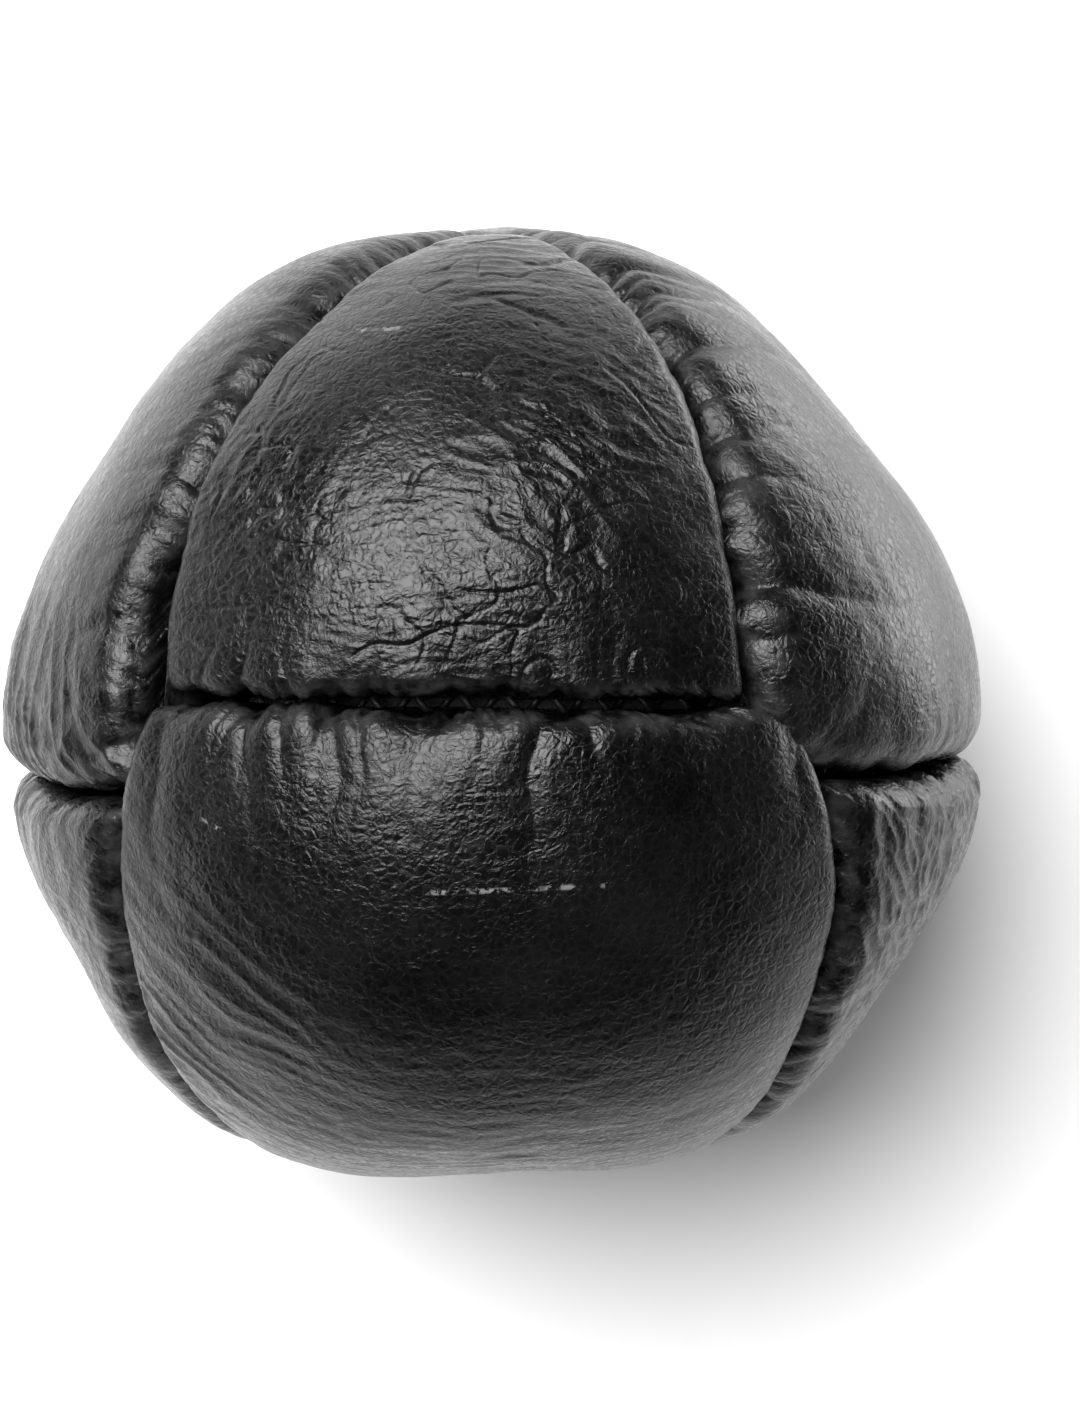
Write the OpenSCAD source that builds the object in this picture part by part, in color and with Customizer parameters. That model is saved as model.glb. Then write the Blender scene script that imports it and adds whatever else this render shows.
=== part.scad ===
// Soft leather medicine ball for one hand or two, sewn from eight rounded triangles around a
// felt-padded bag of granules. It has settled on its underside, which is a little flattened.

/* [Ball] */
// Distance from the middle of the ball to each of the six corners where four panels meet
corner_r = 58; // [50:1:70]
// Distance from the middle of the ball to the middle of each panel's dome: more is puffier
puff = 11; // [6:0.5:16]
// How far the ball's own weight has flattened its underside
flattened = 3.5; // [2:0.5:4.5]

/* [Lie of the corners] */
// Angle between the two upper corners, seen from the middle of the ball
upper_spread = 76; // [70:1:95]
// Angle between the two lower corners, seen from the middle of the ball
lower_spread = 102; // [85:1:110]
// Angle that the side corners lie toward the front
side_lean = 5; // [0:1:12]
// Angle that the rear corner lies above level
rear_rise = 6; // [0:1:15]
// Angle that the front corner lies below level
front_drop = 20; // [0:1:25]
// Angle that the whole ball has rolled to the left
roll_left = 5; // [0:1:15]

/* [Leather] */
// Thickness of the leather
leather_t = 1.8; // [1.2:0.1:2.4]
// Depth of the turned-in edge of a panel, its seam allowance
allowance = 7; // [6:0.5:9]
// Gap between the two turned-in edges of a seam
seam_gap = 0.4; // [0.2:0.1:0.8]

/* [Stitching] */
// Thickness of the thread in the sewn seams
thread_d = 0.8; // [0.5:0.1:1.2]
// Thickness of the waxed thread in the hand-closed seam
closing_d = 1.2; // [0.8:0.1:1.6]
// Distance between stitches in the sewn seams
stitch_pitch = 6; // [4:0.5:9]
// Distance between stitches in the hand-closed seam
closing_pitch = 8; // [6:0.5:12]
// Depth of the stitch line below the bottom of the seam's groove
stitch_depth = 4; // [3:0.5:5]
// Thickness of a stitch where it is drawn through the leather, as a share of the thread's
drawn = 0.75; // [0.6:0.05:0.9]
// Slack of a stitch in its needle hole, all round
hole_slack = 0.05; // [0:0.01:0.1]

/* [Inside] */
// Gap between the wadding and the thread beside it
wadding_gap = 0.2; // [0.1:0.1:0.6]
// Outside radius of the cotton bag
bag_r = 38; // [30:1:42]
// Thickness of the bag's cotton
bag_t = 0.8; // [0.5:0.1:1.2]
// Depth of the bag's seam allowance
bag_allowance = 4; // [3:0.5:6]
// Depth of the bag's stitch line below its surface
bag_stitch_depth = 2.5; // [2:0.1:3]
// Gap between the granules and the bag's seam, and above them
filling_gap = 0.3; // [0.1:0.1:1]
// Height of the granules as a share of the inside of the bag
filling_level = 0.9; // [0.7:0.05:1]

/* [Hidden] */

// The ball is worked out about its own middle, then stood on the floor.
// Side of the blocks that stand for half of space, larger than the ball
block = 6 * corner_r;

// Turns a direction about the front-to-rear axis, as the ball rolls to the left
function rolled(v) = [
    v.x * cos(roll_left) - v.z * sin(roll_left),
    v.y,
    v.x * sin(roll_left) + v.z * cos(roll_left)
];
function corner(v) = corner_r * rolled(v);
function side_corner(side, up, spread) = corner([
    side * sin(spread / 2) * cos(side_lean),
    -sin(side_lean),
    up * cos(spread / 2) * cos(side_lean)
]);

rear = corner([0, cos(rear_rise), sin(rear_rise)]);
front = corner([0, -cos(front_drop), -sin(front_drop)]);
upper_left = side_corner(-1, 1, upper_spread);
upper_right = side_corner(1, 1, upper_spread);
lower_left = side_corner(-1, -1, lower_spread);
lower_right = side_corner(1, -1, lower_spread);

// The eight panels, each by its three corners
TOP_REAR = [rear, upper_left, upper_right];
TOP_FRONT = [front, upper_right, upper_left];
LEFT_REAR = [rear, lower_left, upper_left];
LEFT_FRONT = [front, upper_left, lower_left];
RIGHT_REAR = [rear, upper_right, lower_right];
RIGHT_FRONT = [front, lower_right, upper_right];
UNDER_REAR = [rear, lower_right, lower_left];
UNDER_FRONT = [front, lower_left, lower_right];
PANELS = [
    TOP_REAR, TOP_FRONT, LEFT_REAR, LEFT_FRONT,
    RIGHT_REAR, RIGHT_FRONT, UNDER_REAR, UNDER_FRONT
];

// Each seam by the panels on its two sides, its thread and its stitch pitch
SEAMS = [
    [TOP_REAR, TOP_FRONT, closing_d, closing_pitch],
    [UNDER_REAR, UNDER_FRONT, thread_d, stitch_pitch],
    [LEFT_REAR, LEFT_FRONT, thread_d, stitch_pitch],
    [RIGHT_REAR, RIGHT_FRONT, thread_d, stitch_pitch],
    [TOP_REAR, LEFT_REAR, thread_d, stitch_pitch],
    [TOP_REAR, RIGHT_REAR, thread_d, stitch_pitch],
    [UNDER_REAR, LEFT_REAR, thread_d, stitch_pitch],
    [UNDER_REAR, RIGHT_REAR, thread_d, stitch_pitch],
    [TOP_FRONT, LEFT_FRONT, thread_d, stitch_pitch],
    [TOP_FRONT, RIGHT_FRONT, thread_d, stitch_pitch],
    [UNDER_FRONT, LEFT_FRONT, thread_d, stitch_pitch],
    [UNDER_FRONT, RIGHT_FRONT, thread_d, stitch_pitch]
];

function unit(v) = v / norm(v);
function shared(p, q) = [for (a = p) for (b = q) if (a == b) a];

// Direction square to the flat triangle between a panel's three corners
function outward(p) =
    let (n = unit(cross(p[1] - p[0], p[2] - p[0])))
    n * p[0] > 0 ? n : -n;
// Middle and radius of the dome that a panel is part of
function dome_middle(p) = puff * outward(p);
function dome_r(p) = norm(p[0] - dome_middle(p));

// The plane of a seam, in which the two domes beside it meet
function seam_normal(p, q) = unit(dome_middle(p) - dome_middle(q));
function seam_middle(p, q) =
    let (n = seam_normal(p, q), c = dome_middle(p), s = shared(p, q))
    c + n * ((s[0] - c) * n);

// The ball stands on its flattened underside, with its box centred over the origin
function lowest(axis) = min([for (p = PANELS) dome_middle(p)[axis] - dome_r(p)]);
function highest(axis) = max([for (p = PANELS) dome_middle(p)[axis] + dome_r(p)]);
floor_z = lowest(2) + flattened;
standing = -[(lowest(0) + highest(0)) / 2, (lowest(1) + highest(1)) / 2, floor_z];

$fn = 128;

// Turns +Z to a direction
module facing(v) {
    rotate([0, acos(v.z), atan2(v.y, v.x)])
        children();
}

// Half of space, on the side of the point that its normal shows
module beyond(point, normal) {
    translate(point)
        facing(normal)
            translate([-block / 2, -block / 2, 0])
                cube(block);
}

module above_floor(h) {
    beyond([0, 0, floor_z + h], [0, 0, 1]);
}

// The dome that a panel is part of, at a depth below the panel's outer face, with its poles
// beside the panel
module dome(p, depth) {
    translate(dome_middle(p))
        facing(outward(p))
            rotate([90, 0, outward(p).z < -0.5 ? 90 : 0])
                sphere(dome_r(p) - depth);
}

// The part of a panel's dome inside its three seams and above the floor
module wedge(p, depth, from_seam, from_floor) {
    intersection() {
        dome(p, depth);
        above_floor(from_floor);
        for_each_seam(p, from_seam);
    }
}

// What lies on a panel's own side of all its seams
module for_each_seam(p, from_seam) {
    neighbours = [for (q = PANELS) if (len(shared(p, q)) == 2) q];
    intersection_for (q = neighbours)
        beyond(
            seam_middle(p, q) + seam_normal(p, q) * from_seam,
            seam_normal(p, q)
        );
}

// Puts a seam's own frame in place: its circle in the XY plane, its mid-point toward +X
module in_seam_frame(p, q) {
    s = shared(p, q);
    m = seam_middle(p, q);
    z = seam_normal(p, q);
    x = unit((s[0] + s[1]) / 2 - m);
    y = cross(z, x);
    multmatrix([
        [x.x, y.x, z.x, m.x],
        [x.y, y.y, z.y, m.y],
        [x.z, y.z, z.z, m.z],
        [0, 0, 0, 1]
    ])
        children();
}

function groove_r(p, q) = norm(shared(p, q)[0] - seam_middle(p, q));
function groove_angle(p, q) =
    let (s = shared(p, q), m = seam_middle(p, q))
    acos(unit(s[0] - m) * unit(s[1] - m));

// Angles of the stitches along an arc, evenly spaced about its mid-point
function stitch_angles(angle, r, pitch) =
    let (count = floor(angle * PI / 180 * r / pitch) - 1, step = angle / (count + 1))
    [for (i = [1:count]) i * step - angle / 2];

// The straight runs of thread that pass through both turned-in edges
module stitches(angles, r, d, reach) {
    for (a = angles)
        rotate(a)
            translate([r, 0, -reach])
                cylinder(h = 2 * reach, d = d, $fn = 24);
}

// A lockstitch: a thread along each side of the seam, tied through it at each stitch
module lockstitch(angles, r, d, reach) {
    stitches(angles, r, d * drawn, reach);
    first = angles[0];
    span = angles[len(angles) - 1] - first;
    for (side = [-1, 1])
        rotate(first)
            rotate_extrude(angle = span)
                translate([r, side * reach])
                    circle(d = d, $fn = 24);
}

module seam_thread(seam) {
    p = seam[0];
    q = seam[1];
    d = seam[2];
    r = groove_r(p, q) - stitch_depth;
    color("dimgray")
        translate(standing)
            in_seam_frame(p, q)
                lockstitch(
                    stitch_angles(groove_angle(p, q), r, seam[3]),
                    r, d, seam_gap / 2 + leather_t + d / 2
                );
}

// The needle holes of every seam beside a panel
module needle_holes(p) {
    for (seam = SEAMS)
        if (seam[0] == p || seam[1] == p) {
            r = groove_r(seam[0], seam[1]) - stitch_depth;
            in_seam_frame(seam[0], seam[1])
                stitches(
                    stitch_angles(groove_angle(seam[0], seam[1]), r, seam[3]),
                    r, seam[2] * drawn + 2 * hole_slack, seam_gap + leather_t + thread_d
                );
        }
}

// A panel of leather with its edges turned in along its three seams
module panel(p) {
    color("#1c1b1c")
        translate(standing)
            difference() {
                wedge(p, 0, seam_gap / 2, 0);
                wedge(p, leather_t, seam_gap / 2 + leather_t, leather_t);
                intersection() {
                    dome(p, allowance);
                    above_floor(leather_t);
                }
                needle_holes(p);
            }
}

// Felt wadding: it backs each panel up to its seams, and surrounds the bag
module wadding() {
    clear = seam_gap / 2 + leather_t + max(thread_d, closing_d) + wadding_gap;
    core_r = corner_r - allowance - leather_t;
    color("tan")
        translate(standing)
            difference() {
                union() {
                    for (p = PANELS)
                        wedge(p, leather_t, clear, leather_t);
                    intersection() {
                        sphere(core_r);
                        above_floor(leather_t);
                    }
                }
                sphere(bag_r);
            }
}

// Reach of the bag's thread to each side of its seam
bag_reach = bag_t + thread_d / 2;

module bag_half(side) {
    color("wheat")
        translate(standing)
            rotate([0, side * 90, 0])
                difference() {
                    half_ball(bag_r, 0);
                    half_ball(bag_r - bag_t, bag_t);
                    sphere(bag_r - bag_allowance);
                    bag_stitches(hole_slack, 2 * bag_reach);
                }
}

// The upper half of a ball, from a height above its middle
module half_ball(r, from_middle) {
    intersection() {
        sphere(r);
        beyond([0, 0, from_middle], [0, 0, 1]);
    }
}

function bag_stitch_r() = bag_r - bag_stitch_depth;
function bag_angles() =
    let (step = 360 / floor(2 * PI * bag_stitch_r() / stitch_pitch))
    [for (a = [0:step:359.9]) a];

module bag_stitches(slack, reach) {
    stitches(bag_angles(), bag_stitch_r(), thread_d * drawn + 2 * slack, reach);
}

module bag_thread() {
    color("white")
        translate(standing)
            rotate([0, 90, 0]) {
                bag_stitches(0, bag_reach);
                for (side = [-1, 1])
                    rotate_extrude()
                        translate([bag_stitch_r(), side * bag_reach])
                            circle(d = thread_d, $fn = 24);
            }
}

// Granules: they lie inside the bag's seam, level on top
module filling() {
    r = bag_r - bag_allowance - filling_gap;
    color("slategray")
        translate(standing)
            intersection() {
                sphere(r);
                translate([-block / 2, -block / 2, -block + (2 * filling_level - 1) * r])
                    cube(block);
            }
}

panel(TOP_REAR);  // panel_top_rear
panel(TOP_FRONT);  // panel_top_front
panel(LEFT_REAR);  // panel_left_rear
panel(LEFT_FRONT);  // panel_left_front
panel(RIGHT_REAR);  // panel_right_rear
panel(RIGHT_FRONT);  // panel_right_front
panel(UNDER_REAR);  // panel_under_rear
panel(UNDER_FRONT);  // panel_under_front
for (i = [0:len(SEAMS) - 1])
    seam_thread(SEAMS[i]);
wadding();
bag_half(-1);  // bag_left
bag_half(1);  // bag_right
bag_thread();
filling();
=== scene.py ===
"""A small leather medicine ball: eight rounded triangles of black leather, sewn inside out."""

import math

import bpy
import numpy as np
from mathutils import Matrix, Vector


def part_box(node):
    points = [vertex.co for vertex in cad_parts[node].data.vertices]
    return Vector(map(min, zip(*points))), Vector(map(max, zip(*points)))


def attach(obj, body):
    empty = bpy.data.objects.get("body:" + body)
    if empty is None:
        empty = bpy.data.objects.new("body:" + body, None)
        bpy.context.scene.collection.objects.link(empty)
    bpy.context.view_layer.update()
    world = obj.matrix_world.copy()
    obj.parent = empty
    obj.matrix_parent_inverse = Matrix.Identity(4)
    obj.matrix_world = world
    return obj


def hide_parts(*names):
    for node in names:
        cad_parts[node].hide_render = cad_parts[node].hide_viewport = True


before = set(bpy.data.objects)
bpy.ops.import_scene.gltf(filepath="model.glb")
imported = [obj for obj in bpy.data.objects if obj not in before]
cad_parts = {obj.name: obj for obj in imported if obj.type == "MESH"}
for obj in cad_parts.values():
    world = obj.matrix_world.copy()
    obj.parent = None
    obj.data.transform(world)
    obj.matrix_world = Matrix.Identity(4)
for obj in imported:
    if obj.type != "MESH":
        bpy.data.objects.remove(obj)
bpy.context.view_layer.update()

MM = 0.001

# Lie of the six corners, as in the CAD, in degrees about the middle of the ball
UPPER_SPREAD = 76
LOWER_SPREAD = 102
SIDE_LEAN = 5
REAR_RISE = 6
FRONT_DROP = 20
ROLL_LEFT = 5
CORNER_R = 58.0
PUFF = 11.0

# The angle that the leather bends through where it turns in at a seam
TURN = math.radians(105)
# How far into a panel the leather is drawn toward its seam
DRAWN = 12.0
# How uneven a panel's skin is: height and size of its broad bulges, and of the small ones
BULGE, BULGE_SIZE = 0.6, 26
DIMPLE, DIMPLE_SIZE = 0.05, 5
# A fold beside a seam pushes the turned-in edge toward it by this share of the fold's height
FOLD_PUSH = 0.5
# Where the skin is rubbed and a highlight is painted along the lip: the middle of the band and its
# half-width, as shares of the bend
WORN_AND_LIT_AT = 0.55
WORN_AND_LIT_WIDTH = 0.3

# How far the flesh side of the leather lies below its skin, how deep its edges reach at a seam,
# and how deep the wadding lies
LINING_DROP = 2.6
EDGE_DROP = 11.5
WADDING_DROP = 13.0
# How lumpy the wadding is
WADDING_LUMPS = 0.5

# Where the ball has slumped: direction in degrees round from +X, depth, half-width in degrees
SLUMPS = ((37, 8.1, 30), (147, 6.4, 30), (210, 2.5, 14), (272, 5.2, 20), (325, 4.2, 20))
# The height at which it has slumped the most, and how far above and below it does
SLUMP_Z = 6.0
SLUMP_REACH = 32.0
# How softly the skin turns from the side of the ball to its flat underside
FLOOR_ROUND = 1.2


def unit(v):
    return v / np.linalg.norm(v, axis=-1, keepdims=True)


def rolled(x, y, z):
    """Turns a direction about the front-to-rear axis, as the ball rolls to the left."""
    c, s = math.cos(math.radians(ROLL_LEFT)), math.sin(math.radians(ROLL_LEFT))
    return np.array([x * c - z * s, y, x * s + z * c])


def side_corner(side, up, spread):
    half, lean = math.radians(spread / 2), math.radians(SIDE_LEAN)
    return rolled(
        side * math.sin(half) * math.cos(lean),
        -math.sin(lean),
        up * math.cos(half) * math.cos(lean),
    )


def ball_middle():
    """The middle of the ball, in millimetres: the bag's thread runs round it."""
    low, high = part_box("bag_thread")
    return (np.array(low) + np.array(high)) / 2 / MM


MIDDLE = ball_middle()
CORNERS = {
    "rear": rolled(0, math.cos(math.radians(REAR_RISE)), math.sin(math.radians(REAR_RISE))),
    "front": rolled(0, -math.cos(math.radians(FRONT_DROP)), -math.sin(math.radians(FRONT_DROP))),
    "upper_left": side_corner(-1, 1, UPPER_SPREAD),
    "upper_right": side_corner(1, 1, UPPER_SPREAD),
    "lower_left": side_corner(-1, -1, LOWER_SPREAD),
    "lower_right": side_corner(1, -1, LOWER_SPREAD),
}
PANELS = {
    "panel_top_rear": ("rear", "upper_left", "upper_right"),
    "panel_top_front": ("front", "upper_right", "upper_left"),
    "panel_left_rear": ("rear", "lower_left", "upper_left"),
    "panel_left_front": ("front", "upper_left", "lower_left"),
    "panel_right_rear": ("rear", "upper_right", "lower_right"),
    "panel_right_front": ("front", "lower_right", "upper_right"),
    "panel_under_rear": ("rear", "lower_right", "lower_left"),
    "panel_under_front": ("front", "lower_left", "lower_right"),
}
# Rows of the fine mesh along each side of a panel, a multiple of COARSE
FINE = {
    "panel_top_rear": 400, "panel_top_front": 400,
    "panel_left_rear": 360, "panel_left_front": 320,
    "panel_right_rear": 360, "panel_right_front": 320,
    "panel_under_rear": 200, "panel_under_front": 200,
}
COARSE = 4


# Noise

def noise(p, seed):
    """Gradient noise, from about -1 to 1, at each row of p."""
    rng = np.random.default_rng(seed)
    perm = rng.permutation(256)
    grads = unit(rng.normal(size=(256, 3)))
    cell = np.floor(p).astype(np.int64)
    f = p - cell
    fade = f * f * f * (f * (f * 6 - 15) + 10)
    total = np.zeros(len(p))
    for step in np.ndindex(2, 2, 2):
        step = np.array(step)
        c = (cell + step) & 255
        h = perm[(perm[(perm[c[:, 0]] + c[:, 1]) & 255] + c[:, 2]) & 255]
        weight = np.prod(np.where(step, fade, 1 - fade), axis=1)
        total += weight * np.einsum("ij,ij->i", f - step, grads[h])
    return total * 1.7


def fractal(p, seed, octaves, gain=0.5):
    total, size = np.zeros(len(p)), 1.0
    for i in range(octaves):
        total += size * noise(p * 2.0 ** i, seed + i)
        size *= gain
    return total


def lobes(p, seed):
    """Rounded tops with sharp creases between them, from 0 in a crease to about 1."""
    return 1 - (1 - np.minimum(np.abs(noise(p, seed)) * 1.9, 1)) ** 2


def smooth(low, high, x):
    s = np.clip((x - low) / (high - low), 0, 1)
    return s * s * (3 - 2 * s)


# Shape of the ball

def dome(corner_names):
    a, b, c = (CORNERS[n] * CORNER_R for n in corner_names)
    out = unit(np.cross(b - a, c - a))
    out = out if out @ a > 0 else -out
    return out * PUFF, np.linalg.norm(a - out * PUFF)


DOMES = [dome(names) for names in PANELS.values()]


def ball_r(d):
    """Distance from the middle of the ball to its skin along each direction, before the seams."""
    reach = []
    for middle, r in DOMES:
        along = d @ middle
        reach.append(along + np.sqrt(r * r - middle @ middle + along * along))
    return np.max(reach, axis=0)


class Seam:
    """A great circle between two corners, with distances along it and to each side of it."""

    def __init__(self, start, end):
        self.middle = unit(CORNERS[start] + CORNERS[end])
        self.normal = unit(np.cross(CORNERS[start], CORNERS[end]))
        self.along = np.cross(self.normal, self.middle)
        cosine = CORNERS[start] @ CORNERS[end]
        self.length = math.acos(cosine) * CORNER_R

    def place(self, d):
        t = np.arctan2(d @ self.along, d @ self.middle) * CORNER_R
        return t, np.arcsin(np.clip(d @ self.normal, -1, 1)) * CORNER_R


SEAMS = {
    "closing": Seam("upper_left", "upper_right"),
    "under": Seam("lower_left", "lower_right"),
    "left": Seam("upper_left", "lower_left"),
    "right": Seam("upper_right", "lower_right"),
    "rear_upper_left": Seam("rear", "upper_left"),
    "rear_upper_right": Seam("rear", "upper_right"),
    "rear_lower_left": Seam("rear", "lower_left"),
    "rear_lower_right": Seam("rear", "lower_right"),
    "front_upper_left": Seam("front", "upper_left"),
    "front_upper_right": Seam("front", "upper_right"),
    "front_lower_left": Seam("front", "lower_left"),
    "front_lower_right": Seam("front", "lower_right"),
}
# How far a seam bows toward the side that its normal shows, in millimetres, at places along it
# from -1 at its start to 1 at its end
BOWS = {
    "closing": ((-1, 6.2), (0, 7.1), (1, 5.4)),
    "left": ((-1, 6.2), (-0.5, 4.5), (-0.25, 2.5), (-0.05, 0), (1, 0)),
    "right": ((-1, -3.1), (-0.6, -2.7), (-0.2, -0.6), (0.1, 1.2), (0.5, 0.5), (1, 0)),
    "rear_upper_left": ((-1, 3), (-0.6, 5), (-0.26, 5), (0.1, 2.4), (0.4, 0.4), (1, 0)),
    "rear_upper_right": ((-1, -1), (-0.5, -3), (1, -3)),
    "front_upper_left": ((-1, 1), (-0.3, 5), (0.1, 6.5), (0.45, 7), (0.65, 6), (0.9, 2), (1, 0)),
    "front_upper_right": (
        (-1, -1), (-0.3, -4.5), (0.2, -7), (0.35, -8), (0.6, -9), (0.85, -5), (1, -2),
    ),
}
# A bow dies out this near a corner, and this far to each side of its seam
BOW_END = 4.0
BOW_SIDE = 24.0
# Places along a seam at which its bow is worked out, and how many to each side ease each of them
BOW_PLACES = 81
BOW_EASING = 6


def bow(name, t):
    """How far the seam bows at each place t, in millimetres along it from its middle."""
    if name not in BOWS:
        return np.zeros(len(t))
    at, by = np.array(BOWS[name]).T
    fine = np.linspace(-1, 1, BOW_PLACES)
    padded = np.pad(np.interp(fine, at, by), BOW_EASING, mode="edge")
    window = np.ones(2 * BOW_EASING + 1)
    eased = np.convolve(padded, window / len(window), "valid")
    return np.interp(t / (SEAMS[name].length / 2), fine, eased)


def slumped(p, above=0.0):
    """Moves points of the even ball to where they lie in the slumped one, on its flat underside
    or at least this far above it."""
    round_from_x = np.degrees(np.arctan2(p[:, 1], p[:, 0]))
    pressed = np.zeros(len(p))
    for at, depth, width in SLUMPS:
        away = (round_from_x - at + 180) % 360 - 180
        pressed += depth / CORNER_R * np.exp(-(away / width) ** 2)
    pressed *= np.exp(-((p[:, 2] - SLUMP_Z) / SLUMP_REACH) ** 2)
    floor = above - MIDDLE[2]
    over = p[:, 2] - floor
    z = floor + (over + np.sqrt(over ** 2 + FLOOR_ROUND ** 2)) / 2
    return np.stack([p[:, 0] * (1 - pressed), p[:, 1] * (1 - pressed), z], axis=1)


def seams_of(panel):
    """The seams beside a panel, each with the side of it that the panel is on."""
    names = PANELS[panel]
    inside = unit(sum(CORNERS[n] for n in names))
    found = []
    for name, seam in SEAMS.items():
        ends = [n for n in names if abs(CORNERS[n] @ seam.normal) < 1e-6]
        if len(ends) == 2:
            found.append((name, seam, 1.0 if inside @ seam.normal > 0 else -1.0))
    return found


def rolled_edge(e, lip, gap):
    """Where leather at a distance e from its seam goes: across, down, and the angle it turns."""
    lip_r = lip / TURN
    bend = np.clip(1 - e / lip, 0, 1) * TURN
    across = gap + lip_r * (math.sin(TURN) - np.sin(bend))
    pull = lip - gap - lip_r * math.sin(TURN)
    across = np.where(e < lip, across, e - pull * np.exp(-(e - lip) / DRAWN))
    return across, -lip_r * (1 - np.cos(bend)), bend


# Gathers beside a seam: pitch, depth and reach into the panel, in millimetres. The first
# BROAD_GATHERS of them are the broad ones
GATHERS = ((12.0, 1.0, 13.0), (6.0, 0.7, 8.0), (2.8, 0.35, 5.0), (1.4, 0.16, 3.5))
BROAD_GATHERS = 2
# How many times as long as its pitch a gather is, how far it wanders to each side, in
# millimetres, and the level of its folds that stays where the skin was
GATHER_LENGTH = 3.5
GATHER_WANDER = 1.3
GATHER_LEVEL = 0.7
# A turned-in edge: length of the bend, broad gathers, fine ones, how far the gathers reach as a
# share of the usual, and distance from the seam
USUAL = (8.0, 0.8, 1.0, 0.8, 0.2)
EDGES = {
    ("panel_top_rear", "closing"): (4.5, 0.8, 2.0, 0.55, 0.6),
    ("panel_top_front", "closing"): (5.5, 2.0, 2.4, 0.5, 0.6),
    ("panel_top_rear", "rear_upper_right"): (4.5, 0.3, 0.5, 0.6, 0.1),
    ("panel_right_rear", "rear_upper_right"): (10.0, 3.4, 1.8, 0.6, 0.6),
    ("panel_top_rear", "rear_upper_left"): (5.0, 0.4, 0.5, 0.6, 0.2),
    ("panel_left_rear", "rear_upper_left"): (10.0, 1.2, 2.6, 0.8, 0.8),
    ("panel_top_front", "front_upper_left"): (5.0, 0.3, 0.6, 0.7, 0.1),
    ("panel_left_front", "front_upper_left"): (9.0, 0.8, 2.2, 0.7, 0.4),
    ("panel_top_front", "front_upper_right"): (5.0, 0.3, 0.6, 0.7, 0.1),
    ("panel_right_front", "front_upper_right"): (9.0, 0.8, 2.2, 0.7, 0.5),
}
# Where the leather stands off its seam: panel and seam, then place along it from -1 to 1 and gap
OPENINGS = {
    ("panel_left_rear", "rear_upper_left"): (
        (-1, 0.6), (-0.6, 2.2), (0, 1.8), (0.35, 1.6), (0.55, 4.5), (0.85, 5), (1, 2.5),
    ),
    ("panel_left_front", "front_upper_left"): ((-0.5, 0.6), (0.2, 1.2), (0.8, 2), (1, 1)),
    ("panel_right_front", "front_upper_right"): ((-0.5, 0.5), (0.2, 0.9), (0.8, 2), (1, 1)),
    ("panel_left_rear", "left"): ((-1, 1.8), (-0.4, 1.0), (0, 0.4)),
    ("panel_right_rear", "right"): ((-1, 2.0), (-0.4, 1.2), (0, 0.4)),
}


def gathers(edge, seed):
    """Height of the folds that the stitches draw into the leather beside a seam."""
    t, e = edge.t, edge.e
    total = np.zeros(len(t))
    wander = np.stack([t / 9, e / 6, np.full(len(t), seed * 0.7)], axis=1)
    t = t + GATHER_WANDER * noise(wander, seed + 9)
    for i, (pitch, depth, reach) in enumerate(GATHERS):
        p = np.stack(
            [t / pitch + seed, e / (pitch * GATHER_LENGTH), np.full(len(t), seed * 1.7)], axis=1,
        )
        strength = edge.broad if i < BROAD_GATHERS else edge.fine
        fading = np.exp(-e / (reach * edge.reach))
        total += strength * depth * (lobes(p, seed + i) - GATHER_LEVEL) * fading
    return total


class Edge:
    """What one seam does to the skin of one panel beside it."""

    def __init__(self, panel, name, seam, side, d):
        self.name, self.side = name, side
        self.t, off = seam.place(d)
        self.e = np.maximum(off * side, 0)
        toward = seam.normal * side
        self.inward = unit(toward - (d @ toward)[:, None] * d)
        self.lip, self.broad, self.fine, self.reach, self.gap = EDGES.get((panel, name), USUAL)
        if (panel, name) in OPENINGS:
            at, gaps = np.array(OPENINGS[panel, name]).T
            self.gap = np.interp(self.t / (seam.length / 2), at, gaps)


def bowed(edges):
    """How far each edge's own bow moves the skin, fading at the corners and into the panel."""
    moved = 0
    for edge in edges:
        others = [smooth(0, BOW_END, other.e) for other in edges if other is not edge]
        amount = bow(edge.name, edge.t) * edge.side * others[0] * others[1]
        moved = moved + (amount * np.exp(-(edge.e / BOW_SIDE) ** 2))[:, None] * edge.inward
    return moved


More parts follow.
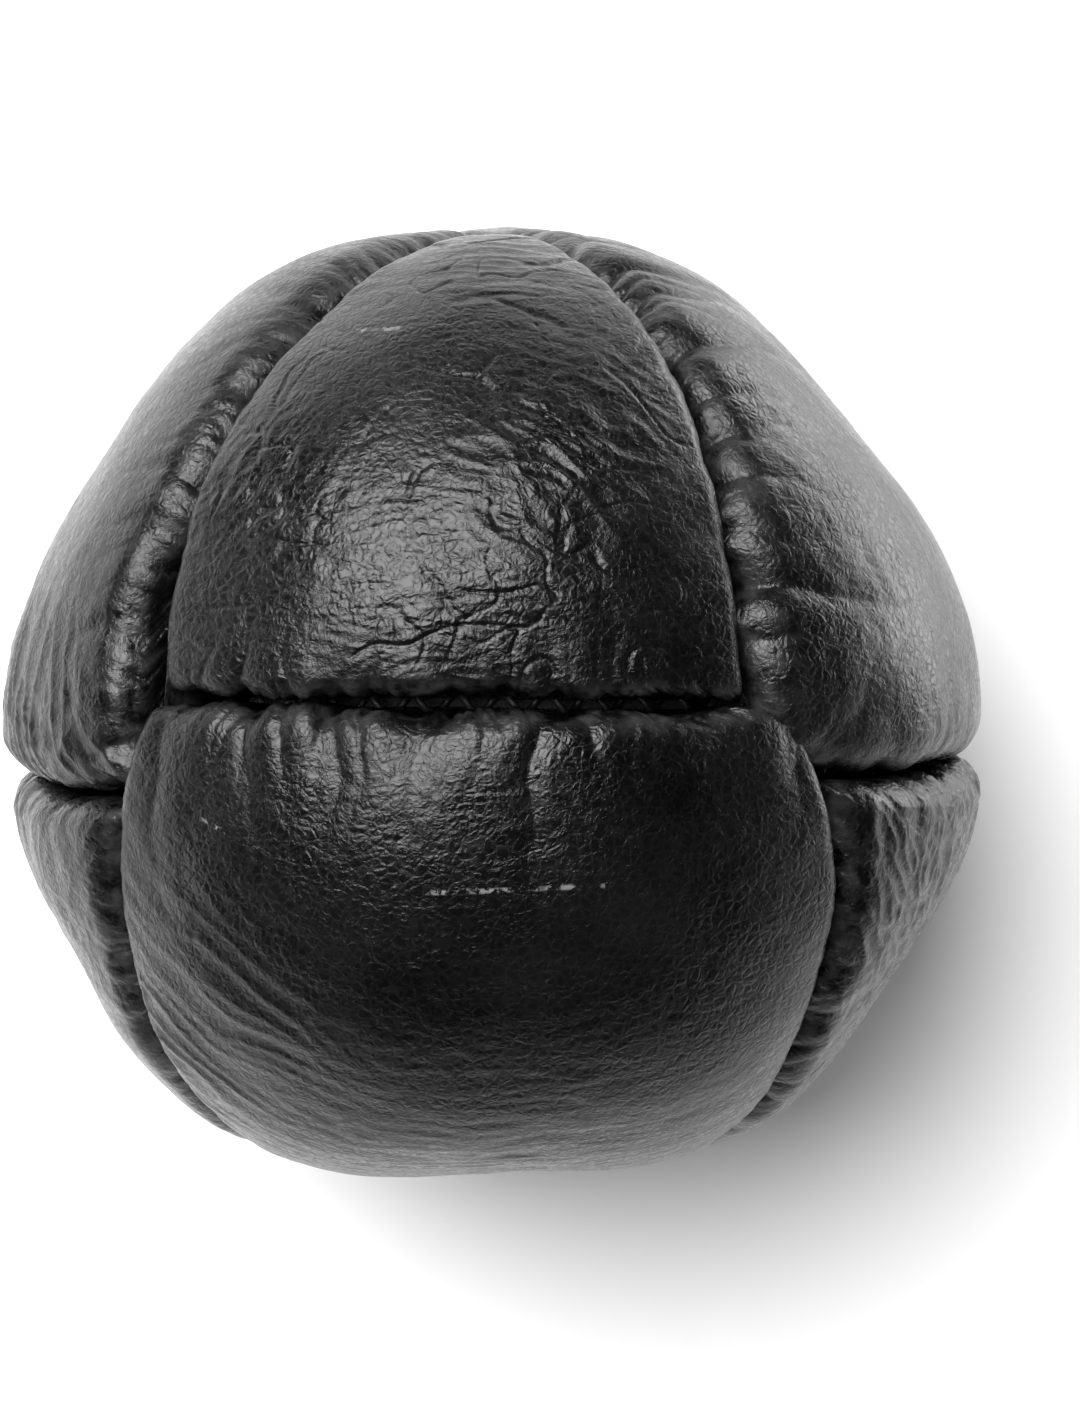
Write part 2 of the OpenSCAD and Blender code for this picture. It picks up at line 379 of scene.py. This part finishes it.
# Wrinkles: panel, where their middle lies in millimetres across and to the rear, how far they
# reach, the way that they run, pitch, length over pitch and depth
WRINKLES = (
    ("panel_top_rear", (-8, 8), 17, (1, 0.1, 0), 1.4, 3, 0.10),
    ("panel_top_rear", (8, 25), 11, (0.8, -0.6, 0), 2.2, 3, 0.3),
    ("panel_top_rear", (-25, 22), 9, (0.6, 0.8, 0), 1.8, 3, 0.12),
    ("panel_top_rear", (0, 50), 10, (1, 0, 0), 2.4, 6, 0.12),
    ("panel_top_front", (-27, -37), 13, (0.86, -0.51, 0), 2.4, 6, 0.25),
    ("panel_top_front", (0, -54), 20, (1, 0, 0), 1.6, 9, 0.1),
    ("panel_top_front", (38, -30), 7, (0.9, 0.4, 0), 2.2, 5, 0.18),
    ("panel_left_rear", (-58, 4), 12, (0.1, -1, 0), 3.4, 8, 0.35),
    ("panel_left_rear", (-50, -3), 8, (0.8, -0.5, 0.3), 3.4, 4, 0.4),
    ("panel_right_rear", (40, 30), 26, (0.6, -0.8, 0), 3.0, 12, 0.06),
    ("panel_right_front", (46, -24), 16, (0.6, -0.7, -0.4), 2.2, 7, 0.26),
    ("panel_right_front", (57, -8), 8, (0.3, -0.9, -0.3), 2.6, 6, 0.4),
    ("panel_left_front", (-54, -22), 16, (-0.3, -0.8, -0.5), 2.6, 6, 0.12),
)
# How deep the creases are in a panel, in millimetres: as usual, and where they aren't
CREASED_USUAL = 0.06
CREASED = {"panel_top_rear": 0.24}


def wrinkles(panel, p):
    """Height of the wrinkles in a panel's skin at points in millimetres."""
    total = np.zeros(len(p))
    for i, (name, (x, y), reach, run, pitch, length, depth) in enumerate(WRINKLES):
        if name != panel:
            continue
        near = np.exp(-((p[:, 0] - x) ** 2 + (p[:, 1] - y) ** 2) / reach ** 2)
        run = unit(np.array(run, float))
        wavy = p + 1.2 * np.stack([noise(p / 9 + k, 700 + i) for k in range(3)], axis=1)
        squeezed = wavy - (1 - 1 / length) * (wavy @ run)[:, None] * run
        total += depth * near * (1.3 - 2 * np.abs(noise(squeezed / pitch, 720 + i)) ** 0.7)
    return total


def creases(p, seed):
    """Thin valleys in broken lines, 0 to -1."""
    wavy = p + 2.5 * np.stack([noise(p / 7 + k, seed + k) for k in range(3)], axis=1)
    coarse = np.abs(noise(wavy * (0.4, 1, 1) / 8, seed + 5))
    fine = np.abs(noise(wavy * (1, 0.4, 1) / 5, seed + 6))
    there = smooth(-0.1, 0.4, noise(p / 10, seed + 7))
    there_too = smooth(-0.1, 0.4, noise(p / 10, seed + 8))
    return -there * (1 - smooth(0, 0.07, coarse)) - 0.7 * there_too * (1 - smooth(0, 0.08, fine))


def shape(panel, bary):
    """Where the skin of a panel lies at each row of barycentric coordinates."""
    corners = np.array([CORNERS[n] for n in PANELS[panel]])
    d = unit(bary @ corners)
    seed = 100 * (1 + list(PANELS).index(panel))
    edges = [Edge(panel, name, seam, side, d) for name, seam, side in seams_of(panel)]
    turned = np.zeros_like(d)
    down_squared = np.zeros(len(d))
    worn_and_lit = np.zeros(len(d))
    on_ball = d * CORNER_R
    height = BULGE * fractal(on_ball / BULGE_SIZE, seed + 50, 2)
    height = height + DIMPLE * fractal(on_ball / DIMPLE_SIZE, seed + 60, 2)
    creased = CREASED.get(panel, CREASED_USUAL)
    height += wrinkles(panel, on_ball) + creased * creases(on_ball, seed + 70)
    normal = d.copy()
    for i, edge in enumerate(edges):
        folds = gathers(edge, seed + 10 * i)
        # A lighter band along each lip: partly rubbed wear, partly a painted highlight where the
        # turned edge catches the light
        band = np.exp(-((edge.e / edge.lip - WORN_AND_LIT_AT) / WORN_AND_LIT_WIDTH) ** 2)
        worn_and_lit = np.maximum(worn_and_lit, band)
        gap = edge.gap - FOLD_PUSH * folds * np.exp(-edge.e / 4) * smooth(0, 3, edge.e)
        across, down, bend = rolled_edge(edge.e, edge.lip, gap)
        turned += (across - edge.e)[:, None] * edge.inward
        down_squared += down ** 2
        height += folds
        normal -= np.sin(bend)[:, None] * edge.inward
    down = np.sqrt(down_squared)
    even = unit(d * ball_r(d)[:, None] + turned)
    r = ball_r(even)
    out = unit(even * r[:, None] + bowed(edges))
    out = out * (r - down)[:, None] + unit(normal) * height[:, None]
    return slumped(out), {"worn_and_lit": worn_and_lit}


# Meshes

def triangle_grid(rows):
    """Barycentric coordinates and faces of a triangle cut into rows, and its outline in order."""
    index = {}
    bary = []
    for i in range(rows + 1):
        for j in range(i + 1):
            index[i, j] = len(bary)
            bary.append((rows - i, i - j, j))
    i, j = np.array([(i, j) for i in range(rows) for j in range(i + 1)]).T
    start = i * (i + 1) // 2 + j
    below = (i + 1) * (i + 2) // 2 + j
    up = np.stack([start, below, below + 1], axis=1)
    inner = j < i
    down = np.stack([start[inner], below[inner] + 1, start[inner] + 1], axis=1)
    outline = [index[k, 0] for k in range(rows)]
    outline += [index[rows, k] for k in range(rows)]
    outline += [index[k, k] for k in range(rows, 0, -1)]
    return np.array(bary) / rows, np.concatenate([up, down]), np.array(outline)


def panel_shell(panel):
    """A closed shell: the fine skin outside, a coarse lining inside and the edge between."""
    rows = FINE[panel]
    bary, faces, outline = triangle_grid(rows)
    skin, marks = shape(panel, bary)
    low_bary, low_faces, low_outline = triangle_grid(rows // COARSE)
    lining = shape_lining(panel, low_bary)
    first = len(skin)
    ring = []
    for k in range(len(low_outline)):
        near = first + low_outline[k]
        after = first + low_outline[(k + 1) % len(low_outline)]
        fine = [outline[(k * COARSE + i) % len(outline)] for i in range(COARSE + 1)]
        ring += [(fine[i + 1], fine[i], near) for i in range(COARSE)]
        ring.append((fine[COARSE], near, after))
    points = np.concatenate([skin, lining])
    all_faces = np.concatenate([faces, first + low_faces[:, ::-1], np.array(ring)])
    for key, values in marks.items():
        marks[key] = np.concatenate([values, np.zeros(len(lining))])
    return points, all_faces, marks


def shape_lining(panel, bary):
    """The flesh side of a panel: it follows the skin inside, down to the seam allowance."""
    d = unit(bary @ np.array([CORNERS[n] for n in PANELS[panel]]))
    edges = [Edge(panel, name, seam, side, d) for name, seam, side in seams_of(panel)]
    moved = bowed(edges)
    r = ball_r(d)
    drop = np.full(len(d), LINING_DROP)
    for edge in edges:
        inset = LINING_DROP * (np.exp(-edge.e / 6) - np.exp(-edge.e / 1.5))
        inset += edge.gap * np.exp(-edge.e / 3)
        moved += inset[:, None] * edge.inward
        drop += (EDGE_DROP - LINING_DROP) * np.exp(-(edge.e / 4.5) ** 2)
    d = unit(d * r[:, None] + moved)
    return slumped(d * (r - np.minimum(drop, EDGE_DROP))[:, None], LINING_DROP)


def add_mesh(name, points, faces, marks=None):
    """A mesh object from points in millimetres about the middle of the ball."""
    mesh = bpy.data.meshes.new(name)
    points = (points + MIDDLE) * MM
    mesh.vertices.add(len(points))
    mesh.vertices.foreach_set("co", points.ravel())
    mesh.loops.add(len(faces) * 3)
    mesh.loops.foreach_set("vertex_index", faces.ravel().astype(np.int32))
    mesh.polygons.add(len(faces))
    mesh.polygons.foreach_set("loop_start", np.arange(0, len(faces) * 3, 3, dtype=np.int32))
    mesh.update(calc_edges=True)
    mesh.shade_smooth()
    for key, values in (marks or {}).items():
        layer = mesh.attributes.new(key, "FLOAT", "POINT")
        layer.data.foreach_set("value", values.astype(np.float32))
    obj = bpy.data.objects.new(name, mesh)
    bpy.context.scene.collection.objects.link(obj)
    return obj


# Materials

class Nodes:
    """A short way to add and join the nodes of one material."""

    def __init__(self, name):
        self.material = bpy.data.materials.new(name)
        self.material.use_nodes = True
        self.tree = self.material.node_tree
        self.tree.nodes.clear()
        self.output = self.tree.nodes.new("ShaderNodeOutputMaterial")
        self.shader = self.add("ShaderNodeBsdfPrincipled")
        self.join(self.shader.outputs[0], self.output.inputs["Surface"])
        self.place = self.add("ShaderNodeTexCoord").outputs["Object"]

    def add(self, kind, **values):
        node = self.tree.nodes.new(kind)
        for key, value in values.items():
            if key in node.inputs:
                self.give(node.inputs[key], value)
            else:
                setattr(node, key, value)
        return node

    def give(self, socket, value):
        if isinstance(value, bpy.types.NodeSocket):
            self.join(value, socket)
        else:
            socket.default_value = value

    def join(self, output, socket):
        self.tree.links.new(output, socket)

    def noise(self, size, detail=3.0, place=None):
        """Noise whose features are about size millimetres across."""
        node = self.add("ShaderNodeTexNoise", Vector=place or self.place,
                        Scale=1 / (size * MM), Detail=detail)
        return node.outputs["Fac"]

    def cells(self, size, feature="F1", place=None):
        node = self.add("ShaderNodeTexVoronoi", Vector=place or self.place,
                        feature=feature, Scale=1 / (size * MM))
        return node.outputs["Distance"]

    def spread(self, value, low, high, to_low, to_high):
        node = self.add("ShaderNodeMapRange")
        for key, v in zip(("Value", "From Min", "From Max", "To Min", "To Max"),
                          (value, low, high, to_low, to_high)):
            self.give(node.inputs[key], v)
        return node.outputs["Result"]

    def maths(self, operation, a, b):
        node = self.add("ShaderNodeMath", operation=operation)
        self.give(node.inputs[0], a)
        self.give(node.inputs[1], b)
        return node.outputs[0]

    def blend(self, share, a, b):
        node = self.add("ShaderNodeMix", data_type="RGBA")
        self.give(node.inputs["Factor"], share)
        self.give(node.inputs[6], a)
        self.give(node.inputs[7], b)
        return node.outputs[2]

    def attribute(self, name):
        return self.add("ShaderNodeAttribute", attribute_name=name).outputs["Fac"]

    def bump(self, height, depth, strength=1.0, below=None):
        """Relief of depth millimetres, on top of any relief below it."""
        node = self.add("ShaderNodeBump", Height=height, Strength=strength, Distance=depth * MM)
        if below is not None:
            self.join(below, node.inputs["Normal"])
        return node.outputs["Normal"]


def grey(value):
    return (value, value, value, 1.0)


# Scratches: across from and to, in millimetres, to the rear, and their slope
SCRATCHES = ((-7.5, 13, -20.3, 0.04), (-16, -8.5, 42.5, 0.02), (-33, -30, -13.5, -0.5))


def scratches(m):
    """Broken pale lines where something scraped the top of the ball, from 0 to 1."""
    split = m.add("ShaderNodeSeparateXYZ", Vector=m.place).outputs
    broken = m.spread(m.noise(0.7, 3), 0.47, 0.55, 0.0, 1.0)
    broken = m.maths("MULTIPLY", broken, m.spread(m.noise(3, 2), 0.4, 0.5, 0.0, 1.0))
    total = 0.0
    for start, end, rear, slope in SCRATCHES:
        x0, x1, y0 = (MIDDLE[0] + start) * MM, (MIDDLE[0] + end) * MM, (MIDDLE[1] + rear) * MM
        line = m.maths("MULTIPLY_ADD", split["X"], slope)
        line.node.inputs[2].default_value = y0 - slope * (x0 + x1) / 2
        off = m.maths("ABSOLUTE", m.maths("SUBTRACT", split["Y"], line), 0.0)
        on = m.spread(off, 0.15 * MM, 0.35 * MM, 1.0, 0.0)
        within = m.maths("ABSOLUTE", m.maths("SUBTRACT", split["X"], (x0 + x1) / 2), 0.0)
        half = (x1 - x0) / 2
        on = m.maths("MULTIPLY", on, m.spread(within, half * 0.9, half, 1.0, 0.0))
        total = m.maths("ADD", total, on)
    upper = m.spread(split["Z"], MIDDLE[2] * MM, MIDDLE[2] * MM + 0.01, 0.0, 1.0)
    return m.maths("MULTIPLY", m.maths("MULTIPLY", total, upper), broken)


# Grain of the leather, in millimetres across: dents, crumpled skin, pebbles, wrinkles and pores
DENT, CRUMPLE, PEBBLE, WRINKLE, PORE = 4, 1.3, 1.15, 1.1, 0.45
# How far the grain strays from even cells, in metres
GRAIN_WARP = 0.0016


def leather():
    """Black leather: pebbled grain, fine wrinkles, uneven gloss, lips lightened partly as rubbed
    wear and partly as a painted highlight, and scratches.
    """
    m = Nodes("black_leather")
    warp = m.add("ShaderNodeVectorMath", operation="MULTIPLY_ADD")
    m.join(m.add("ShaderNodeTexNoise", Vector=m.place, Scale=1 / (3 * MM)).outputs["Color"],
           warp.inputs[0])
    warp.inputs[1].default_value = (GRAIN_WARP, GRAIN_WARP, GRAIN_WARP)
    m.join(m.place, warp.inputs[2])
    place = warp.outputs[0]
    patches = m.noise(16, 4)
    pebbles = m.spread(m.cells(PEBBLE, "DISTANCE_TO_EDGE", place), 0.0, 0.22, 0.0, 1.0)
    pores = m.cells(PORE, "SMOOTH_F1", place)
    wrinkled = m.noise(WRINKLE, 4, place)
    wrinkled = m.maths("ABSOLUTE", m.maths("SUBTRACT", wrinkled, 0.5), 0.0)
    wrinkled = m.spread(wrinkled, 0.0, 0.05, 0.0, 1.0)
    grained = m.spread(m.noise(13, 3), 0.4, 0.6, 0.25, 1.0)
    worn_and_lit = m.maths("MULTIPLY", m.attribute("worn_and_lit"), m.spread(m.noise(2.5, 4), 0.4, 0.65, 0.0, 1.0))
    scraped = scratches(m)
    colour = m.blend(m.spread(patches, 0.3, 0.7, 0.0, 1.0), grey(0.001), grey(0.003))
    # The lips are lightened towards grey: partly rubbed wear, partly a painted highlight on the
    # turned edge
    colour = m.blend(m.maths("MULTIPLY", worn_and_lit, 0.7), colour, grey(0.03))
    colour = m.blend(m.maths("MULTIPLY", scraped, 0.6), colour, grey(0.2))
    m.join(colour, m.shader.inputs["Base Color"])
    rough = m.spread(patches, 0.3, 0.7, 0.23, 0.35)
    rough = m.maths("ADD", rough, m.spread(pebbles, 0.0, 1.0, 0.08, -0.03))
    rough = m.maths("ADD", rough, m.maths("MULTIPLY", worn_and_lit, 0.08))
    m.join(rough, m.shader.inputs["Roughness"])
    m.shader.inputs["IOR"].default_value = 1.5
    m.shader.inputs["Specular IOR Level"].default_value = 0.33
    stretched = m.add("ShaderNodeMapping", Vector=place)
    stretched.inputs["Scale"].default_value = (0.5, 1.0, 1.0)
    crumpled = m.noise(CRUMPLE, 3, stretched.outputs[0])
    relief = m.bump(m.noise(DENT, 4), 0.12, 0.5)
    relief = m.bump(crumpled, 0.2, 0.8, relief)
    relief = m.bump(pebbles, 0.04, 1.0, relief)
    m.join(grained, relief.node.inputs["Strength"])
    relief = m.bump(wrinkled, 0.03, 0.6, relief)
    relief = m.bump(pores, 0.04, 0.6, relief)
    m.join(relief, m.shader.inputs["Normal"])
    return m.material


def cloth(name, dark, light, thread_size, roughness):
    """Felt, cotton or thread: fibres over uneven cloth."""
    m = Nodes(name)
    fibres = m.noise(thread_size, 6)
    patches = m.noise(12, 3)
    m.join(m.blend(patches, dark, light), m.shader.inputs["Base Color"])
    m.join(m.spread(fibres, 0.3, 0.7, roughness - 0.1, roughness + 0.1),
           m.shader.inputs["Roughness"])
    m.join(m.bump(fibres, thread_size / 2, 0.7), m.shader.inputs["Normal"])
    return m.material


def granules():
    m = Nodes("granules")
    grains = m.cells(1.6)
    m.join(m.blend(m.noise(5, 3), grey(0.12), grey(0.42)), m.shader.inputs["Base Color"])
    m.join(m.spread(grains, 0.0, 0.8, 0.6, 0.9), m.shader.inputs["Roughness"])
    m.join(m.bump(grains, 0.6), m.shader.inputs["Normal"])
    return m.material


def paper():
    m = Nodes("white_paper")
    fibres = m.noise(0.6, 5)
    m.join(m.blend(m.noise(300, 2), grey(0.86), grey(0.88)), m.shader.inputs["Base Color"])
    m.join(m.spread(fibres, 0.3, 0.7, 0.8, 0.95), m.shader.inputs["Roughness"])
    m.join(m.bump(fibres, 0.02, 0.3), m.shader.inputs["Normal"])
    return m.material


# Pieces

def make_panels(material):
    for name in PANELS:
        piece = add_mesh(name + "_leather", *panel_shell(name))
        piece.data.materials.append(material)
        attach(piece, "root")
        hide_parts(name)


def make_wadding(material):
    """Felt under the leather, a little lumpy, clear of the turned-in edges."""
    bpy.ops.mesh.primitive_ico_sphere_add(subdivisions=6, radius=1.0)
    piece = bpy.context.object
    piece.name = "felt_wadding"
    d = np.zeros(len(piece.data.vertices) * 3)
    piece.data.vertices.foreach_get("co", d)
    d = unit(d.reshape(-1, 3))
    r = ball_r(d) - WADDING_DROP + WADDING_LUMPS * fractal(d * 9, 900, 3)
    points = (slumped(d * r[:, None], WADDING_DROP / 2) + MIDDLE) * MM
    piece.data.vertices.foreach_set("co", points.ravel())
    piece.data.update()
    piece.data.shade_smooth()
    piece.data.materials.append(material)
    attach(piece, "root")
    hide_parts("wadding")


# A seam's stitches: pitch, thread's thickness, how far they wind about the seam and their depth
STITCH = 6.0
THREAD = 0.8
WOUND = 1.3
STITCH_DEPTH = 10.5
# Points along one stitch and round the thread
STITCH_STEPS = 24
THREAD_SIDES = 8


def make_seam_threads(material):
    """Each seam's thread winds through the turned-in edges, deep in the seam."""
    for name, seam in SEAMS.items():
        end = seam.length / 2 - BOW_END
        t = np.arange(-end, end, STITCH / STITCH_STEPS)
        turn = 2 * math.pi * t / STITCH
        angle = (t / CORNER_R)[:, None]
        d = np.cos(angle) * seam.middle + np.sin(angle) * seam.along
        across = bow(name, t) * smooth(0, BOW_END, seam.length / 2 - np.abs(t))
        across += WOUND * np.cos(turn)
        r = ball_r(d)
        d = unit(d * r[:, None] + across[:, None] * seam.normal)
        path = slumped(d * (r - STITCH_DEPTH + WOUND * np.sin(turn))[:, None], STITCH_DEPTH / 2)
        piece = add_mesh("thread_" + name + "_stitches", *tube(path, d, THREAD / 2))
        piece.data.materials.append(material)
        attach(piece, "root")
        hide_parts("thread_" + name)


def tube(path, outward, r):
    """A closed tube along a path that never runs straight outward."""
    run = unit(np.gradient(path, axis=0))
    side = unit(np.cross(run, outward))
    up = np.cross(side, run)
    round_it = np.arange(THREAD_SIDES) / THREAD_SIDES * 2 * math.pi
    ring = r * (np.cos(round_it)[:, None] * side[:, None] + np.sin(round_it)[:, None] * up[:, None])
    points = (path[:, None] + ring).reshape(-1, 3)
    faces = []
    for i in range(len(path) - 1):
        for k in range(THREAD_SIDES):
            a = i * THREAD_SIDES + k
            b = i * THREAD_SIDES + (k + 1) % THREAD_SIDES
            faces += [(a, b, b + THREAD_SIDES), (a, b + THREAD_SIDES, a + THREAD_SIDES)]
    last = (len(path) - 1) * THREAD_SIDES
    for k in range(1, THREAD_SIDES - 1):
        faces += [(0, k + 1, k), (last, last + k, last + k + 1)]
    return points, np.array(faces)


def dress_cad_nodes():
    """Gives the bag, its thread and its filling their materials."""
    cotton = cloth("cotton", (0.55, 0.48, 0.36, 1), (0.75, 0.68, 0.55, 1), 0.4, 0.85)
    stones = granules()
    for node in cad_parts:
        if node.startswith("bag"):
            dress(node, cotton)
        elif node == "filling":
            dress(node, stones)


def dress(node, material):
    mesh = bpy.data.objects[node].data
    mesh.materials.clear()
    mesh.materials.append(material)


# The floor's side, in metres, and how many squares it is cut into each way
FLOOR_SIZE, FLOOR_SQUARES = 4, 8


def stage():
    bpy.ops.mesh.primitive_grid_add(
        x_subdivisions=FLOOR_SQUARES, y_subdivisions=FLOOR_SQUARES, size=FLOOR_SIZE,
    )
    floor = bpy.context.object
    floor.name = "floor"
    floor.data.materials.append(paper())


def area_light(name, place, target, size, power, shape="DISK"):
    light = bpy.data.lights.new(name, "AREA")
    light.shape = shape
    light.size = size
    light.energy = power
    obj = bpy.data.objects.new(name, light)
    bpy.context.scene.collection.objects.link(obj)
    obj.location = place
    obj.rotation_euler = (Vector(target) - Vector(place)).to_track_quat("-Z", "Y").to_euler()
    return obj


# The room's strength level with the ball and above, and how high up the change reaches
ROOM_LOW = 0.45
ROOM_HIGH = 0.015
ROOM_REACH = 0.35
# Lights, in metres from the middle of the ball: place, size and power
KEY_PLACE = 1.1 * Vector((-0.32, 0.35, 0.88))
KEY_SIZE, KEY_POWER = 1.0, 32
CARD_PLACE = Vector((0.15, 0.085, -0.02))
CARD_SIZE, CARD_HEIGHT, CARD_POWER = 0.2, 0.08, 0.25
CEILING_PLACE = Vector((0, 0, 1.6))
CEILING_SIZE, CEILING_POWER = 3.0, 14


def room():
    """A room that is bright only low down."""
    world = bpy.data.worlds.new("studio")
    world.use_nodes = True
    tree = world.node_tree
    back = tree.nodes["Background"]
    place = tree.nodes.new("ShaderNodeTexCoord")
    split = tree.nodes.new("ShaderNodeSeparateXYZ")
    ramp = tree.nodes.new("ShaderNodeMapRange")
    tree.links.new(place.outputs["Generated"], split.inputs[0])
    tree.links.new(split.outputs["Z"], ramp.inputs["Value"])
    ramp.inputs["From Min"].default_value = 0.0
    ramp.inputs["From Max"].default_value = ROOM_REACH
    ramp.inputs["To Min"].default_value = ROOM_LOW
    ramp.inputs["To Max"].default_value = ROOM_HIGH
    tree.links.new(ramp.outputs["Result"], back.inputs["Strength"])
    back.inputs["Color"].default_value = grey(1.0)
    bpy.context.scene.world = world


def lights():
    """One soft light at the rear left, a white card and a pale ceiling."""
    middle = Vector(MIDDLE * MM)
    area_light("key", middle + KEY_PLACE, middle, KEY_SIZE, KEY_POWER)
    # The card is beside the right rear; the leather mirrors it and the floor doesn't show it
    card = area_light("card", middle + CARD_PLACE, middle, CARD_SIZE, CARD_POWER, "RECTANGLE")
    card.data.size_y = CARD_HEIGHT
    card.visible_diffuse = False
    # The ceiling lights the floor, and the leather doesn't mirror it
    ceiling = area_light("ceiling", middle + CEILING_PLACE, middle, CEILING_SIZE, CEILING_POWER)
    ceiling.visible_glossy = False


# The camera's lens and sensor, in millimetres, and its place from the middle of the ball, in metres
LENS = 112.4
SENSOR = 36
CAMERA_PLACE = Vector((0.0051, 0.0003, 0.54))


def camera():
    """Looks straight down, from about nine times the ball's radius."""
    data = bpy.data.cameras.new("camera")
    data.sensor_width = SENSOR
    data.lens = LENS
    obj = bpy.data.objects.new("camera", data)
    bpy.context.scene.collection.objects.link(obj)
    obj.location = Vector(MIDDLE * MM) + CAMERA_PLACE
    bpy.context.scene.camera = obj


camera()
stage()
room()
lights()
make_panels(leather())
# The felt's near-black colour is painted shade: it makes the open seams read as dark recesses
make_wadding(cloth("felt", grey(0.008), grey(0.02), 0.5, 0.95))
make_seam_threads(cloth("waxed_thread", grey(0.004), grey(0.012), 0.15, 0.5))
dress_cad_nodes()
bpy.context.scene.view_settings.view_transform = "Standard"
